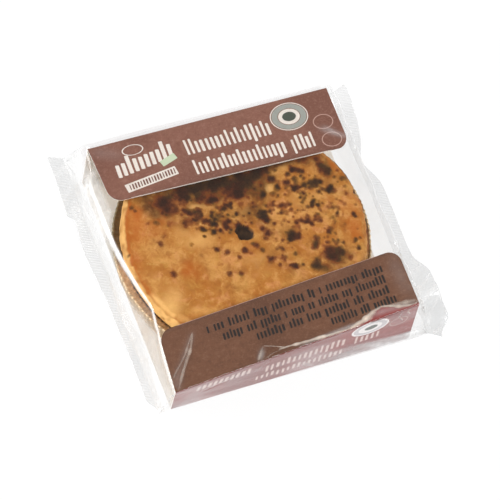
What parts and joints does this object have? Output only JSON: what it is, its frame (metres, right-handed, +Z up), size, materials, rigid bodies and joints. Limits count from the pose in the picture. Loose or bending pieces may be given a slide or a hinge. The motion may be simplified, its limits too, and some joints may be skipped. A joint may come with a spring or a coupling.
{
  "type": "packed individual pie",
  "caption": "Round baked pie in a pleated foil tray, held by a folded card sleeve with a window and sealed in a clear film bag with crimped ends.",
  "frame": {"origin": "centre of the card sleeve's base, on the surface that the pack rests on", "axes": "+Z up; +X along the sleeve's folds, from one end seal to the other; +Y from the near wall to the far wall"},
  "size_m": [0.1507, 0.1382, 0.0362],
  "materials": {
    "crust": "matt baked pastry, golden with dark scorch spots",
    "foil": "thin pleated foil, dull",
    "card": "fibrous brown card, white inside",
    "print": "flat ink on card",
    "film": "thin clear glossy film with creases"
  },
  "bodies": {
    "root": {"pie_crust": "crust", "foil_tray": "foil", "card_sleeve": "card", "film_bag": "film"}
  },
  "joints": []
}
